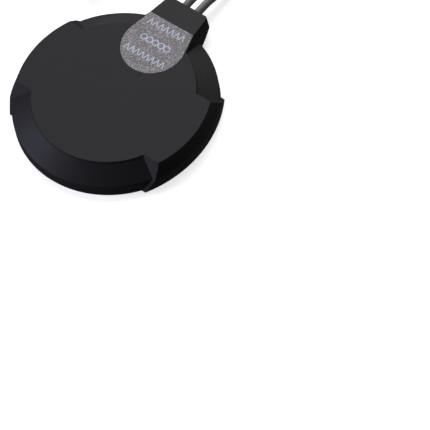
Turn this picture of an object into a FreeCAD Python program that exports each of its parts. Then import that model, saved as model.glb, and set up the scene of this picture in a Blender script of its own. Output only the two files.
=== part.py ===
import FreeCAD, Part
import math
import os

# Low round adhesive-mount antenna puck with two coaxial leads.
# Millimetres. +Z is up, the mounting surface is z = 0, the disc's centre is x = y = 0,
# and the lead outlet tab points along +Y.

# ---- driving dimensions -------------------------------------------------------------
HEIGHT = 10.2            # top face above the mounting surface
SHELL_FOOT = 0.3         # lower edge of the cover, just above the surface
CROWN_R = 30.3           # top face over the two wide conical flanks
TOP_R = 36.0             # top face over the two steep flanks
SKIRT_R = 37.9           # vertical skirt under the conical flanks
WALL_R = 38.0            # foot of the steep flanks, at their middle
WALL_END = (31.1, 24.0)  # the end of that foot's flatter arc, just past the ramps
SKIRT_TOP = 5.1          # where the conical flank meets the skirt
WALL_TOP = SKIRT_TOP     # the steep flanks are upright below this, too
CROWN_STEP = 0.5         # small upright lip round the crown
RIM_BEVEL = 0.8          # bevel along the steep flanks' upper edge, across and down
RIM_DROP = 1.1
RAMP_Y = 15.5            # where the flat ramps start, each side of the X axis
RAMP_RISE = 1.2          # height lost per millimetre of ramp
WALL = 1.6               # cover wall
EDGE_R = 0.3             # rounding of the moulded edges round the top face
SKIRT_EDGE_R = 0.6       # rounding where the conical flank meets the skirt

TAB_END_Y = 45.1         # end face of the outlet tab
TAB_TOP_DROP = 1.4       # how far the tab's top falls towards its end
TAB_BEND_Y = 35.3        # the label's straight edge, where that fall begins
TAB_FLOOR = 3.2          # underside of the tab
TAB_TOP_HALF = 9.9       # half widths of the tab's top and foot at the bend
TAB_FOOT_HALF = 12.3
TAB_END_HALF = 8.8       # half width at the end face
TAB_CORNER_R = 1.6

LABEL_Y = 23.9           # centre of the label's round end
LABEL_R = 12.2
LABEL_DEPTH = 0.25

LEAD_DIA = 3.0
LEAD_X = 2.75            # the leads leave the tab this far each side of its middle
LEAD_Z = 5.5
BUSH_R = 1.9
BRAID_R = 0.75           # the lead's stripped end inside the housing
CORE_R = 0.22

PAD_R = 33.0
PAD_TOP = 1.1            # adhesive pad thickness, its underside is z = 0
BASE_TOP = 3.1           # base plate, from PAD_TOP up
BASE_R = 35.6
LEDGE_R = 34.0           # the cover's ledge over the gasket
GASKET = 0.5

BOARD_R = 27.6
BOARD_Z = 3.7            # underside of the circuit board
BOARD_T = 0.8
PATCH = 25.0             # square ceramic patch
PATCH_T = 2.0
TAPE_T = 0.2
PATCH_Y = -2.0
ELEMENT_IN = 20.6        # cellular element, an arc of sheet
ELEMENT_OUT = 26.4
ELEMENT_T = 0.3
FRAME_TOP = 7.2
CAN_HALF = 8.0           # shield can under the board, in a pocket of the base plate
CAN_H = 1.0
CAN_Y = -2.0

BOSS_X, BOSS_Y = 26.6, 15.9     # four screw bosses
POST_X, POST_Y = 21.6, 12.5     # two of the three circuit board posts
THIRD_POST_Y = -18.0

COIL_MEAN_R = 17.5       # middle of the turns of each put-away coil
COIL_HALF = 6.0          # half of the coil's width, four turns side by side
COIL_FLOOR = 0.6         # the tie under the coil lifts it this much
COIL_H = 6.0             # two layers of turns

BOARD_TOP = BOARD_Z + BOARD_T
CERAMIC_Z = BOARD_TOP + TAPE_T
CERAMIC_TOP = CERAMIC_Z + PATCH_T
LEAD_R = LEAD_DIA / 2
FAR = 80.0

Z_AXIS = FreeCAD.Vector(0, 0, 1)
Y_AXIS = FreeCAD.Vector(0, 1, 0)


def vec(x, y, z=0.0):
    return FreeCAD.Vector(x, y, z)


def save(shape, node):
    shape = shape.removeSplitter()
    shape.exportStep("parts/" + node + ".step")
    print("%-20s solids %d  volume %9.2f  valid %s"
          % (node, len(shape.Solids), shape.Volume, shape.isValid()))
    return shape


def rod(radius, length, base, direction=Z_AXIS):
    return Part.makeCylinder(radius, length, base, direction)


def tube(outer, inner, length, base, direction=Z_AXIS):
    return rod(outer, length, base, direction).cut(rod(inner, length, base, direction))


def block(x0, x1, y0, y1, z0, z1):
    return Part.makeBox(x1 - x0, y1 - y0, z1 - z0, vec(x0, y0, z0))


def turned(profile):
    """A solid of revolution about Z from a list of (radius, height) points."""
    wire = Part.makePolygon([vec(r, 0, z) for r, z in profile + profile[:1]])
    return Part.Face(wire).revolve(vec(0, 0, 0), Z_AXIS, 360)


def prism(outline, z0, z1):
    wire = Part.makePolygon([vec(x, y, z0) for x, y in outline + outline[:1]])
    return Part.Face(wire).extrude(vec(0, 0, z1 - z0))


# ---- the cover's outer form ---------------------------------------------------------
def ramp_slab(top, foot, inset):
    """The band across the disc between its two flat ramps, as a prism along X."""
    y_top = RAMP_Y - inset
    y_foot = y_top + (top - foot) / RAMP_RISE
    wire = Part.makePolygon([vec(-FAR, -y_foot, foot), vec(-FAR, y_foot, foot),
                             vec(-FAR, y_top, top), vec(-FAR, -y_top, top),
                             vec(-FAR, -y_foot, foot)])
    return Part.Face(wire).extrude(vec(2 * FAR, 0, 0))


def four_arcs(end, side_x, front_y, z):
    """A closed outline of four arcs, whose ends lie at the given point and its mirrors."""
    x, y = end
    corners = [(x, -y), (x, y), (-x, y), (-x, -y)]
    middles = [(side_x, 0), (0, front_y), (-side_x, 0), (0, -front_y)]
    arcs = [Part.Arc(vec(*corners[k], z), vec(*middles[k], z), vec(*corners[(k + 1) % 4], z))
            for k in range(4)]
    return Part.Wire([arc.toShape() for arc in arcs])


def steep_wall(top_r, top_z):
    """The steep flanks: round under the top face, flatter and upright at the foot."""
    end_r = math.hypot(*WALL_END)
    top_end = (WALL_END[0] * top_r / end_r, WALL_END[1] * top_r / end_r)
    outline = four_arcs(WALL_END, WALL_R, end_r, WALL_TOP)
    upper = Part.makeLoft([outline, four_arcs(top_end, top_r, top_r, top_z)], True, True)
    return upper.fuse(Part.Face(outline).extrude(vec(0, 0, SHELL_FOOT - WALL_TOP)))


def disc_form():
    conical = turned([(0, SHELL_FOOT), (SKIRT_R, SHELL_FOOT), (SKIRT_R, SKIRT_TOP),
                      (CROWN_R + 0.05, HEIGHT - CROWN_STEP), (CROWN_R, HEIGHT),
                      (0, HEIGHT)])
    shoulder_r, shoulder_z = TOP_R + RIM_BEVEL, HEIGHT - RIM_DROP
    steep = turned([(0, shoulder_z), (shoulder_r, shoulder_z), (TOP_R, HEIGHT),
                    (0, HEIGHT)]).fuse(steep_wall(shoulder_r, shoulder_z)).removeSplitter()
    return conical.fuse(steep.common(ramp_slab(HEIGHT, SHELL_FOOT, 0.0)))


def tab_form():
    """The outlet tab: drafted sides, a top that falls slightly, rounded end corners."""
    inner_y, mid_y = 20.0, 0.5 * (TAB_BEND_Y + TAB_END_Y)
    top_mid = 0.5 * (TAB_TOP_HALF + TAB_END_HALF) - 0.1
    foot_mid = 0.5 * (TAB_FOOT_HALF + TAB_END_HALF) + 0.2

    def section(halves, z):
        near, bend, mid, end = halves
        right = [(near, inner_y), (bend, TAB_BEND_Y), (mid, mid_y), (end, TAB_END_Y)]
        left = [(-x, y) for x, y in reversed(right)]
        return Part.makePolygon([vec(x, y, z) for x, y in right + left + right[:1]])

    top = section((TAB_TOP_HALF + 4.6, TAB_TOP_HALF, top_mid, TAB_END_HALF), HEIGHT)
    foot = section((TAB_FOOT_HALF + 5.4, TAB_FOOT_HALF, foot_mid, TAB_END_HALF + 0.1),
                   TAB_FLOOR)
    body = Part.makeLoft([foot, top], True, True)
    corners = [edge for edge in body.Edges
               if min(v.Point.y for v in edge.Vertexes) > TAB_END_Y - 0.01
               and abs(edge.Vertexes[0].Point.z - edge.Vertexes[1].Point.z) > 1.0]
    body = body.makeFillet(TAB_CORNER_R, corners)
    past = 5.0
    slope = TAB_TOP_DROP / (TAB_END_Y - TAB_BEND_Y)
    far_y = TAB_END_Y + past
    fall = Part.makePolygon([vec(-FAR, TAB_BEND_Y, HEIGHT),
                             vec(-FAR, far_y, HEIGHT - slope * (far_y - TAB_BEND_Y)),
                             vec(-FAR, far_y, HEIGHT + past),
                             vec(-FAR, TAB_BEND_Y, HEIGHT + past),
                             vec(-FAR, TAB_BEND_Y, HEIGHT)])
    return body.cut(Part.Face(fall).extrude(vec(2 * FAR, 0, 0)))


def inner_form():
    """The hollow inside the disc, above the gasket ledge."""
    low, high = BASE_TOP + GASKET, HEIGHT - WALL
    conical = turned([(0, low), (LEDGE_R, low), (LEDGE_R, SKIRT_TOP + 0.2),
                      (CROWN_R - 1.4, high), (0, high)])
    steep = turned([(0, low), (LEDGE_R + 0.4, low), (LEDGE_R + 0.2, high), (0, high)])
    return conical.fuse(steep.common(ramp_slab(high, low, 1.2)))


def label_outline(inset, z):
    """A round end towards the disc's centre and a straight edge across the tab."""
    radius = LABEL_R - inset
    edge_y = TAB_BEND_Y - inset
    half = TAB_TOP_HALF - 0.1 - inset
    reach = math.hypot(half, edge_y - LABEL_Y)
    turn = math.atan2(edge_y - LABEL_Y, half) - math.acos(radius / reach)
    tangent = (radius * math.cos(turn), LABEL_Y + radius * math.sin(turn))
    right, left = vec(tangent[0], tangent[1], z), vec(-tangent[0], tangent[1], z)
    arc = Part.Arc(right, vec(0, LABEL_Y - radius, z), left).toShape()
    sides = Part.makePolygon([left, vec(-half, edge_y, z), vec(half, edge_y, z), right])
    return Part.Face(Part.Wire([arc] + sides.Edges))


BOSSES = [(sx * BOSS_X, sy * BOSS_Y) for sx in (-1, 1) for sy in (-1, 1)]
POSTS = [(-POST_X, POST_Y), (POST_X, POST_Y), (0, THIRD_POST_Y)]


def rounded(form):
    """Rounds the moulded edges round the top face, then the top of the skirt."""
    lowest_top_edge = HEIGHT - RIM_DROP - 0.1
    top_edges = [edge for edge in form.Edges if edge.BoundBox.ZMin > lowest_top_edge
                 and edge.BoundBox.YLength + abs(edge.BoundBox.Center.y) > 0.01]
    form = form.makeFillet(EDGE_R, top_edges)
    skirt_edges = [edge for edge in form.Edges
                   if abs(edge.BoundBox.ZMin - SKIRT_TOP) < 0.01
                   and abs(edge.BoundBox.ZMax - SKIRT_TOP) < 0.01]
    return form.makeFillet(SKIRT_EDGE_R, skirt_edges)


def cover():
    outer = rounded(disc_form().fuse(tab_form()).removeSplitter())
    hollow = inner_form()
    rebate = rod(BASE_R + 0.2, BASE_TOP + GASKET - SHELL_FOOT, vec(0, 0, SHELL_FOOT))
    bosses = [rod(2.5, HEIGHT, vec(x, y, BASE_TOP)) for x, y in BOSSES]
    for boss in bosses:
        hollow = hollow.cut(boss)
        rebate = rebate.cut(boss)
    shell = outer.cut(hollow).cut(rebate)
    for x, y in BOSSES:
        shell = shell.cut(rod(0.8, 4.6, vec(x, y, BASE_TOP)))
    # pocket in the tab for the leads and their clamp, open underneath
    shell = shell.cut(block(-7.6, 7.6, 38.6, 43.4, TAB_FLOOR, 7.4))
    for side in (-1, 1):
        axis_x = side * LEAD_X
        shell = shell.cut(rod(LEAD_R + 0.15, 14.0, vec(axis_x, 30.0, LEAD_Z), Y_AXIS))
        shell = shell.cut(rod(BUSH_R, 4.0, vec(axis_x, 42.0, LEAD_Z), Y_AXIS))
        shell = shell.cut(rod(0.65, 1.2, vec(side * 6.1, 41.0, 7.4)))
    # shallow recess for the label
    recess = label_outline(0.0, HEIGHT - LABEL_DEPTH).extrude(vec(0, 0, 2))
    return shell.cut(recess)


def base_plate():
    plate = rod(BASE_R, BASE_TOP - PAD_TOP, vec(0, 0, PAD_TOP))
    for x, y in POSTS:
        plate = plate.fuse(rod(2.0, BOARD_Z - BASE_TOP, vec(x, y, BASE_TOP)))
        plate = plate.cut(rod(0.65, 2.2, vec(x, y, BOARD_Z - 2.2)))
    for x, y in BOSSES:
        head = Part.makeCone(2.15, 1.15, 1.0, vec(x, y, PAD_TOP), Z_AXIS)
        plate = plate.cut(rod(1.15, BASE_TOP, vec(x, y, PAD_TOP))).cut(head)
    half = CAN_HALF + 0.4
    return plate.cut(block(-half, half, CAN_Y - half, CAN_Y + half, BOARD_Z - CAN_H - 0.2,
                           BASE_TOP))


def countersunk_screw(x, y, z):
    head = Part.makeCone(2.0, 1.0, 1.0, vec(x, y, z + 0.05), Z_AXIS)
    shank = rod(0.8, 5.2, vec(x, y, z + 0.05))
    slot = rod(0.55, 0.5, vec(x, y, z + 0.05))
    return head.fuse(shank).cut(slot)


def pan_screw(x, y, seat, length, head_r, shank_r, up=1):
    """A pan-head screw; up is +1 with its head on top, -1 with its head below."""
    head = rod(head_r, 0.9, vec(x, y, seat if up > 0 else seat - 0.9))
    drive = rod(0.5, 0.5, vec(x, y, seat + 0.4 if up > 0 else seat - 0.9))
    shank = rod(shank_r, length, vec(x, y, seat - length if up > 0 else seat))
    return head.fuse(shank).cut(drive)


def circuit_board():
    board = rod(BOARD_R, BOARD_T, vec(0, 0, BOARD_Z))
    for x, y in POSTS:
        board = board.cut(rod(0.8, BOARD_T, vec(x, y, BOARD_Z)))
    return board.cut(rod(0.6, BOARD_T, vec(1.8, PATCH_Y, BOARD_Z)))


def shield_can():
    """A folded sheet lid soldered under the board, open upwards."""
    sheet = 0.2
    half, inside = CAN_HALF, CAN_HALF - sheet
    outer = block(-half, half, CAN_Y - half, CAN_Y + half, BOARD_Z - CAN_H, BOARD_Z)
    return outer.cut(block(-inside, inside, CAN_Y - inside, CAN_Y + inside,
                           BOARD_Z - CAN_H + sheet, BOARD_Z))


def amplifier_chips():
    chips = [block(-5.5, -2.5, -6.5, -3.5, BOARD_Z - 0.7, BOARD_Z),
             block(0.3, 3.3, -7.5, -6.1, BOARD_Z - 0.6, BOARD_Z),
             block(3.6, 5.2, 0.4, 2.0, BOARD_Z - 0.6, BOARD_Z)]
    return Part.makeCompound(chips)


def patch_electrode():
    half, trim = 9.6, 1.6
    outline = [(-half, -half), (half - trim, -half), (half, -half + trim), (half, half),
               (-half + trim, half), (-half, half - trim)]
    outline = [(x, y + PATCH_Y) for x, y in outline]
    plate = prism(outline, CERAMIC_TOP, CERAMIC_TOP + 0.1)
    return plate.cut(rod(0.45, 0.1, vec(1.8, PATCH_Y, CERAMIC_TOP)))


def patch_pin():
    pin = rod(0.4, CERAMIC_TOP + 0.1 - BOARD_Z + 0.3, vec(1.8, PATCH_Y, BOARD_Z - 0.3))
    return pin.fuse(rod(1.0, 0.25, vec(1.8, PATCH_Y, CERAMIC_TOP + 0.1)))


def patch_block():
    half = PATCH / 2
    body = block(-half, half, PATCH_Y - half, PATCH_Y + half, CERAMIC_Z, CERAMIC_TOP)
    return body.cut(rod(0.45, PATCH_T, vec(1.8, PATCH_Y, CERAMIC_Z)))


def patch_tape():
    half = PATCH / 2 - 0.5
    sheet = block(-half, half, PATCH_Y - half, PATCH_Y + half, BOARD_TOP, CERAMIC_Z)
    return sheet.cut(rod(1.2, TAPE_T, vec(1.8, PATCH_Y, BOARD_TOP)))


def arc_plate(inner, outer, start, sweep, z0, z1):
    """Part of a flat ring, from an angle start through sweep degrees."""
    ring = Part.makeCylinder(outer, z1 - z0, vec(0, 0, z0), Z_AXIS, sweep)
    ring = ring.cut(Part.makeCylinder(inner, z1 - z0, vec(0, 0, z0), Z_AXIS, 360))
    ring.rotate(vec(0, 0, 0), Z_AXIS, start)
    return ring


def element_frame():
    return arc_plate(22.2, 25.2, 165, 210, BOARD_TOP, FRAME_TOP)


def cellular_element():
    sheet = arc_plate(ELEMENT_IN, ELEMENT_OUT, 163, 214, FRAME_TOP, FRAME_TOP + ELEMENT_T)
    slot = arc_plate(23.3, 24.0, 150, 190, FRAME_TOP, FRAME_TOP + ELEMENT_T)
    sheet = sheet.cut(slot)
    for start in (163.2, 376.0):
        leg = arc_plate(22.6, 25.0, start, 0.8, BOARD_TOP, FRAME_TOP)
        sheet = sheet.fuse(leg)
    return sheet


def lead_clamp():
    """A plate that fills the tab's pocket and presses the leads up, two screws."""
    plate = block(-7.5, 7.5, 38.7, 43.3, TAB_FLOOR, LEAD_Z - 0.1)
    for side in (-1, 1):
        plate = plate.cut(rod(LEAD_R + 0.02, 6.0, vec(side * LEAD_X, 38.0, LEAD_Z), Y_AXIS))
        plate = plate.cut(rod(0.95, 3.0, vec(side * 6.1, 41.0, TAB_FLOOR)))
        plate = plate.cut(rod(1.5, 1.0, vec(side * 6.1, 41.0, TAB_FLOOR)))
    return plate


def lead_tail(side):
    """The lead inside the housing: jacket, then braid, then core, down on the board."""
    axis_x = side * LEAD_X
    jacket = rod(LEAD_R, TAB_END_Y - 28.4, vec(axis_x, 28.4, LEAD_Z), Y_AXIS)
    braid = rod(BRAID_R, 2.4, vec(axis_x, 26.0, LEAD_Z), Y_AXIS)
    core = rod(CORE_R, 2.0, vec(axis_x, 24.0, LEAD_Z), Y_AXIS)
    return jacket.fuse(braid).fuse(core)


def lead_bush(side):
    start = 43.45
    return tube(BUSH_R - 0.02, LEAD_R + 0.02, TAB_END_Y - 0.1 - start,
                vec(side * LEAD_X, start, LEAD_Z), Y_AXIS)


def solder_joints():
    """Four small fillets that hold the braids and cores on the board."""
    joints = []
    for side in (-1, 1):
        for y, reach in ((26.6, LEAD_Z - BRAID_R), (24.6, LEAD_Z - CORE_R)):
            joints.append(Part.makeCone(0.9, 0.3, reach - BOARD_TOP,
                                        vec(side * LEAD_X, y, BOARD_TOP), Z_AXIS))
    return Part.makeCompound(joints)


# ---- cords --------------------------------------------------------------------------
# Each route runs from the tab's end face to its coil, and from the coil to its plug.
# The coil's turns are one ring of their outer shape.
CELL_COIL = (-23.0, 75.0)
GNSS_COIL = (21.5, 99.0)

CELL_ROUTE = [(-2.75, 45.1, 5.5), (-2.75, 52.0, 5.5), (-1.9, 59.6, 3.2),
              (-0.7, 67.3, 2.1), (-1.0, 75.0, 2.1)]
GNSS_ROUTE = [(2.75, 45.1, 5.5), (2.75, 52.5, 5.5), (3.8, 60.5, 3.0), (4.9, 69.5, 1.8),
              (3.2, 79.0, 1.8), (-0.6, 88.8, 1.9), (-0.5, 99.0, 2.1)]
CELL_END = [(-43.67, 82.52, 5.1), (-45.6, 75.0, 5.1), (-45.9, 67.3, 4.1),
            (-44.2, 60.2, 4.1)]
GNSS_END = [(5.94, 83.44, 5.1), (0.4, 88.9, 5.1), (-5.2, 93.9, 4.7), (-11.9, 98.2, 4.1),
            (-19.5, 100.8, 4.1)]


def cord_tube(points, node):
    """Straight runs joined by tangent arcs, swept with the lead's round section."""
    pts = [vec(*p) for p in points]
    edges = []
    start = pts[0]
    radii = []
    for before, corner, after in zip(pts, pts[1:], pts[2:]):
        run_in, run_out = corner - before, after - corner
        turn = run_in.getAngle(run_out)
        cut = 0.45 * min(run_in.Length, run_out.Length)
        radius = cut / math.tan(turn / 2)
        run_in.normalize()
        run_out.normalize()
        enter, leave = corner - run_in * cut, corner + run_out * cut
        inward = run_out - run_in
        inward.normalize()
        centre = corner + inward * math.hypot(radius, cut)
        middle = centre - inward * radius
        edges.append(Part.LineSegment(start, enter).toShape())
        edges.append(Part.Arc(enter, middle, leave).toShape())
        start = leave
        radii.append(radius)
    edges.append(Part.LineSegment(start, pts[-1]).toShape())
    path = Part.Wire(edges)
    heading = pts[1] - pts[0]
    section = Part.Wire([Part.makeCircle(LEAD_R, pts[0], heading)])
    cord = path.makePipeShell([section], True, True)
    print("%s radii mm %s" % (node, ["%.0f" % r for r in radii]))
    print("%s length %.1f, volume over section x length %.4f"
          % (node, path.Length, cord.Volume / (math.pi * LEAD_R ** 2 * path.Length)))
    return cord


def coil(centre):
    x, y = centre
    ring = tube(COIL_MEAN_R + COIL_HALF, COIL_MEAN_R - COIL_HALF, COIL_H,
                vec(x, y, COIL_FLOOR))
    return ring.makeFillet(LEAD_R * 0.9, [e for e in ring.Edges
                                          if len(e.Vertexes) == 1 or e.Closed])


def coil_tie(centre, angle):
    """A closed strap round the coil's bundle at one angle."""
    x, y = centre
    gap, strap, half_width = 0.08, 0.5, 1.3
    inner = block(COIL_MEAN_R - COIL_HALF - gap, COIL_MEAN_R + COIL_HALF + gap,
                  -half_width, half_width, COIL_FLOOR - gap, COIL_FLOOR + COIL_H + gap)
    outer = block(COIL_MEAN_R - COIL_HALF - gap - strap,
                  COIL_MEAN_R + COIL_HALF + gap + strap,
                  -half_width, half_width, COIL_FLOOR - gap - strap,
                  COIL_FLOOR + COIL_H + gap + strap)
    strap_ring = outer.cut(inner)
    strap_ring.rotate(vec(0, 0, 0), Z_AXIS, angle)
    strap_ring.translate(vec(x, y, 0))
    return strap_ring


# ---- coaxial plug, drawn along +X from its lead and then placed ------------------------
SLEEVE_L, FERRULE_L, BARREL_L = 9.0, 4.5, 4.6
NUT_START = SLEEVE_L + FERRULE_L + BARREL_L + 0.3
NUT_L = 9.0
NUT_WALL = 2.0
NUT_FLATS = 8.0
NECK_R = 2.6
THREAD_R = 3.18
SPIGOT_R = 2.3


def plug_pieces():
    """Shapes of one plug by name: sleeve, ferrule, body, insulator, pin, ring, nut."""
    along = vec(1, 0, 0)
    pieces = {}
    pieces["sleeve"] = rod(2.05, SLEEVE_L, vec(0, 0, 0), along)
    pieces["ferrule"] = rod(2.3, FERRULE_L, vec(SLEEVE_L, 0, 0), along)
    body_x = SLEEVE_L + FERRULE_L
    neck_x = body_x + BARREL_L
    ring_x = NUT_START + NUT_WALL + 0.3
    mouth_x = NUT_START + NUT_L
    body = rod(3.25, BARREL_L, vec(body_x, 0, 0), along)
    body = body.fuse(rod(NECK_R, ring_x - neck_x, vec(neck_x, 0, 0), along))
    body = body.fuse(rod(SPIGOT_R, mouth_x - 1.0 - ring_x, vec(ring_x, 0, 0), along))
    body = body.cut(rod(2.0, mouth_x - neck_x, vec(neck_x, 0, 0), along))
    pieces["body"] = body
    insulator = rod(1.98, mouth_x - 1.2 - neck_x, vec(neck_x, 0, 0), along)
    pieces["insulator"] = insulator.cut(rod(0.48, NUT_L + 9, vec(neck_x, 0, 0), along))
    pieces["pin"] = rod(0.46, mouth_x - 0.4 - neck_x, vec(neck_x, 0, 0), along)
    pieces["ring"] = tube(2.95, SPIGOT_R + 0.02, 0.6, vec(ring_x, 0, 0), along)
    corner = NUT_FLATS / 2 / math.cos(math.radians(30))
    hexagon = [(corner * math.sin(math.radians(60 * k + 30)),
                corner * math.cos(math.radians(60 * k + 30))) for k in range(6)]
    wire = Part.makePolygon([vec(NUT_START, y, z) for y, z in hexagon + hexagon[:1]])
    nut = Part.Face(wire).extrude(vec(NUT_L, 0, 0))
    nut = nut.common(Part.makeCone(4.0, 9.0, 5.0, vec(NUT_START, 0, 0), along)
                     .fuse(rod(9.0, NUT_L, vec(NUT_START + 4.5, 0, 0), along)))
    nut = nut.cut(rod(NECK_R + 0.05, NUT_WALL, vec(NUT_START, 0, 0), along))
    nut = nut.cut(rod(THREAD_R, NUT_L, vec(NUT_START + NUT_WALL, 0, 0), along))
    pieces["nut"] = nut
    return pieces


def place_plug(shape, start, heading):
    placed = shape.copy()
    placed.rotate(vec(0, 0, 0), Z_AXIS, heading)
    placed.translate(vec(*start))
    return placed


def route_heading(points):
    (x0, y0, _), (x1, y1, _) = points[-2:]
    return math.degrees(math.atan2(y1 - y0, x1 - x0))


# ---- everything, one file per node ----------------------------------------------------
os.makedirs("parts", exist_ok=True)

save(cover(), "cover")
save(base_plate(), "base_plate")
save(tube(BASE_R - 0.2, LEDGE_R - 0.4, GASKET, vec(0, 0, BASE_TOP)), "base_gasket")
save(Part.makeCompound([countersunk_screw(x, y, PAD_TOP) for x, y in BOSSES]),
     "base_screws")
save(rod(PAD_R, PAD_TOP, vec(0, 0, 0)), "mounting_pad")
label = label_outline(0.12, HEIGHT - LABEL_DEPTH).extrude(vec(0, 0, LABEL_DEPTH - 0.03))
save(label, "sky_label")

save(circuit_board(), "circuit_board")
save(Part.makeCompound([pan_screw(x, y, BOARD_TOP, 2.8, 1.5, 0.6) for x, y in POSTS]),
     "board_screws")
save(patch_tape(), "patch_tape")
save(patch_block(), "patch_ceramic")
save(patch_electrode(), "patch_electrode")
save(patch_pin(), "patch_pin")
save(shield_can(), "shield_can")
save(amplifier_chips(), "amplifier_chips")
save(element_frame(), "element_frame")
save(cellular_element(), "cellular_element")

save(lead_clamp(), "lead_clamp")
save(Part.makeCompound([pan_screw(side * 6.1, 41.0, TAB_FLOOR + 1.0, 4.0, 1.4, 0.62, -1)
                        for side in (-1, 1)]), "clamp_screws")
save(solder_joints(), "solder_joints")

LEADS = [("cellular", -1, CELL_ROUTE, CELL_COIL, CELL_END, 275.0),
         ("gnss", 1, GNSS_ROUTE, GNSS_COIL, GNSS_END, 50.0)]
for name, side, route, centre, end, tie_angle in LEADS:
    save(lead_bush(side), name + "_bush")
    save(lead_tail(side), name + "_lead_tail")
    save(cord_tube(route, name + "_lead"), name + "_lead")
    save(coil(centre), name + "_coil")
    save(coil_tie(centre, tie_angle), name + "_tie")
    save(cord_tube(end, name + "_lead_end"), name + "_lead_end")
    for piece, shape in plug_pieces().items():
        save(place_plug(shape, end[-1], route_heading(end)), name + "_plug_" + piece)
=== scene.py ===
import bmesh
import bpy
import math
from mathutils import Matrix, Vector


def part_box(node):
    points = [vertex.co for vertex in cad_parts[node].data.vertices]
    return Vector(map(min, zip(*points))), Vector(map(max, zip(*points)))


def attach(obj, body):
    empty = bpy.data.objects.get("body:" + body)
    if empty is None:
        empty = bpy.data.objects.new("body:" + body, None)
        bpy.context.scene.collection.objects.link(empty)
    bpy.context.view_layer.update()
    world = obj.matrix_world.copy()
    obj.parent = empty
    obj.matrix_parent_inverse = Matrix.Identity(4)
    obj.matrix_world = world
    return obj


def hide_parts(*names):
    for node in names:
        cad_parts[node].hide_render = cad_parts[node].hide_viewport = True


# A low round antenna puck with two thin coaxial leads, each wound into a tied coil that
# ends in a threaded plug. Metres; the pad's underside is z = 0 and the outlet tab points
# along +Y. The sections follow the order in which the antenna is put together.
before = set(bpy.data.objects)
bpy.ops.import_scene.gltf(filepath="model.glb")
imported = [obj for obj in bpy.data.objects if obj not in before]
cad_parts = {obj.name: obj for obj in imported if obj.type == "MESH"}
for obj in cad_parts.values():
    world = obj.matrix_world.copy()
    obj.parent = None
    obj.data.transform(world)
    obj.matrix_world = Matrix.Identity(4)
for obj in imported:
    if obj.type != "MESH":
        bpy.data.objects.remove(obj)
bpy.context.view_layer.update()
mm = 0.001

# ---- mounting pad ---------------------------------------------------------------------
# A die-cut disc of closed-cell acrylic foam, sticky on both faces, pressed on the base
# plate. Its cut edge bulges a little between its skins, and a split film covers it below.
def start():
    """Nothing selected, object mode: what the next operator adds is all it acts on."""
    if bpy.context.object and bpy.context.object.mode != "OBJECT":
        bpy.ops.object.mode_set(mode="OBJECT")
    bpy.ops.object.select_all(action="DESELECT")


def only(piece):
    start()
    piece.select_set(True)
    bpy.context.view_layer.objects.active = piece


def pick(piece, kind, wanted):
    """Edit mode, with the faces or edges selected whose middle (and normal) are wanted."""
    only(piece)
    bpy.ops.object.mode_set(mode="EDIT")
    bpy.ops.mesh.select_mode(type=kind)
    bpy.ops.mesh.select_all(action="DESELECT")
    mesh = bmesh.from_edit_mesh(piece.data)
    if kind == "FACE":
        for face in mesh.faces:
            face.select = bool(wanted(face.calc_center_median(), face.normal))
    else:
        for edge in mesh.edges:
            one, two = (v.co for v in edge.verts)
            edge.select = bool(wanted((one + two) / 2, (two - one).normalized()))
    mesh.select_flush_mode()
    bmesh.update_edit_mesh(piece.data)


def modify(piece, kind, **values):
    """Adds a modifier with these values and applies it."""
    only(piece)
    modifier = piece.modifiers.new(kind.title(), kind)
    for key, value in values.items():
        setattr(modifier, key, value)
    bpy.ops.object.modifier_apply(modifier=modifier.name)


def break_edges(piece, width, segments=2, angle=30):
    """Rounds every edge that is sharper than the angle."""
    modify(piece, "BEVEL", width=width, segments=segments, limit_method="ANGLE",
           angle_limit=math.radians(angle), use_clamp_overlap=True)


def fit(piece, name, material, body="root", angle=35):
    """The finished piece: placed in its mesh, shaded, named, coated and fixed to its body."""
    only(piece)
    bpy.ops.object.transform_apply(location=True, rotation=True, scale=True)
    bpy.ops.object.shade_smooth_by_angle(angle=math.radians(angle))
    piece.name = piece.data.name = name
    piece.data.materials.clear()
    piece.data.materials.append(material)
    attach(piece, body)
    return piece


def socket(tree, name, way, kind="NodeSocketFloat"):
    tree.interface.new_socket(name=name, in_out=way, socket_type=kind)


def surface_group():
    """Node group: fine grain, slow cloud and sparse specks, each 0 to 1, at given sizes."""
    tree = bpy.data.node_groups.new("Surface", "ShaderNodeTree")
    socket(tree, "Place", "INPUT", "NodeSocketVector")
    socket(tree, "Grain size", "INPUT")
    socket(tree, "Cloud size", "INPUT")
    for name in ("Grain", "Cloud", "Specks"):
        socket(tree, name, "OUTPUT")
    nodes, links = tree.nodes, tree.links
    given, made = nodes.new("NodeGroupInput"), nodes.new("NodeGroupOutput")

    def per_metre(size):
        divide = nodes.new("ShaderNodeMath")
        divide.operation = "DIVIDE"
        divide.inputs[0].default_value = 1.0
        links.new(given.outputs[size], divide.inputs[1])
        return divide.outputs[0]

    for name, size, detail in (("Grain", "Grain size", 2.0), ("Cloud", "Cloud size", 3.0)):
        noise = nodes.new("ShaderNodeTexNoise")
        noise.inputs["Detail"].default_value = detail
        links.new(given.outputs["Place"], noise.inputs["Vector"])
        links.new(per_metre(size), noise.inputs["Scale"])
        spread = nodes.new("ShaderNodeMapRange")
        spread.inputs["From Min"].default_value = 0.3
        spread.inputs["From Max"].default_value = 0.7
        links.new(noise.outputs["Fac"], spread.inputs["Value"])
        links.new(spread.outputs["Result"], made.inputs[name])
    cells = nodes.new("ShaderNodeTexVoronoi")
    links.new(given.outputs["Place"], cells.inputs["Vector"])
    links.new(per_metre("Grain size"), cells.inputs["Scale"])
    rare = nodes.new("ShaderNodeMapRange")
    rare.inputs["From Min"].default_value = 0.12
    rare.inputs["From Max"].default_value = 0.04
    links.new(cells.outputs["Distance"], rare.inputs["Value"])
    links.new(rare.outputs["Result"], made.inputs["Specks"])
    return tree


SURFACE = surface_group()


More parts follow.
